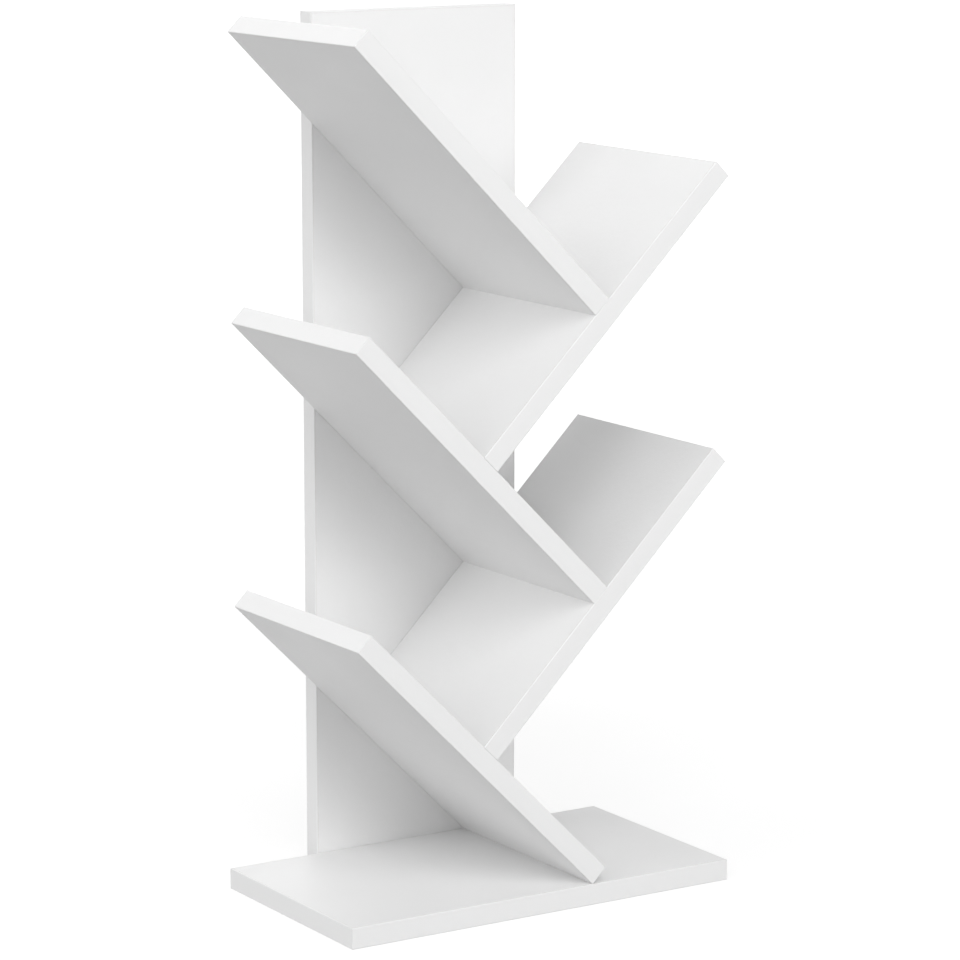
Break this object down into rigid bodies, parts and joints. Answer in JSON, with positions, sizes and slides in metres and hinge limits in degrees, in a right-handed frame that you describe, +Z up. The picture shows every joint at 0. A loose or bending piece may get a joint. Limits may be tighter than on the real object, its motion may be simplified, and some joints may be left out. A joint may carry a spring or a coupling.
{
  "type": "tree shaped bookshelf",
  "caption": "White tabletop bookshelf shaped like a tree: slanted shelves branch left and right from an upright spine board on a flat base.",
  "frame": {"origin": "middle of the footprint on the floor", "axes": "+X to the right seen from the front, +Y to the back, +Z up along the spine board"},
  "size_m": [0.31, 0.185, 0.615],
  "materials": {
    "white_board": "particle board with a smooth satin white melamine facing",
    "white_edge_band": "white ABS edge band, satin",
    "beech_dowel": "raw fluted beech",
    "zinc_plated_screw": "bright zinc plated steel"
  },
  "bodies": {
    "root": {"base_back_band": "white_edge_band", "base_board": "white_board", "base_front_band": "white_edge_band", "base_left_band": "white_edge_band", "base_right_band": "white_edge_band", "bottom_left_shelf_back_band": "white_edge_band", "bottom_left_shelf_board": "white_board", "bottom_left_shelf_front_band": "white_edge_band", "bottom_left_shelf_lower_end_band": "white_edge_band", "bottom_left_shelf_upper_end_band": "white_edge_band", "lower_right_shelf_back_band": "white_edge_band", "lower_right_shelf_board": "white_board", "lower_right_shelf_front_band": "white_edge_band", "lower_right_shelf_upper_end_band": "white_edge_band", "middle_left_shelf_back_band": "white_edge_band", "middle_left_shelf_board": "white_board", "middle_left_shelf_front_band": "white_edge_band", "middle_left_shelf_upper_end_band": "white_edge_band", "shelf_dowels": "beech_dowel", "spine_board": "white_board", "spine_foot_band": "white_edge_band", "spine_left_band": "white_edge_band", "spine_right_band": "white_edge_band", "spine_screws": "zinc_plated_screw", "spine_top_band": "white_edge_band", "top_left_shelf_back_band": "white_edge_band", "top_left_shelf_board": "white_board", "top_left_shelf_front_band": "white_edge_band", "top_left_shelf_upper_end_band": "white_edge_band", "upper_right_shelf_back_band": "white_edge_band", "upper_right_shelf_board": "white_board", "upper_right_shelf_front_band": "white_edge_band", "upper_right_shelf_upper_end_band": "white_edge_band"}
  },
  "joints": []
}
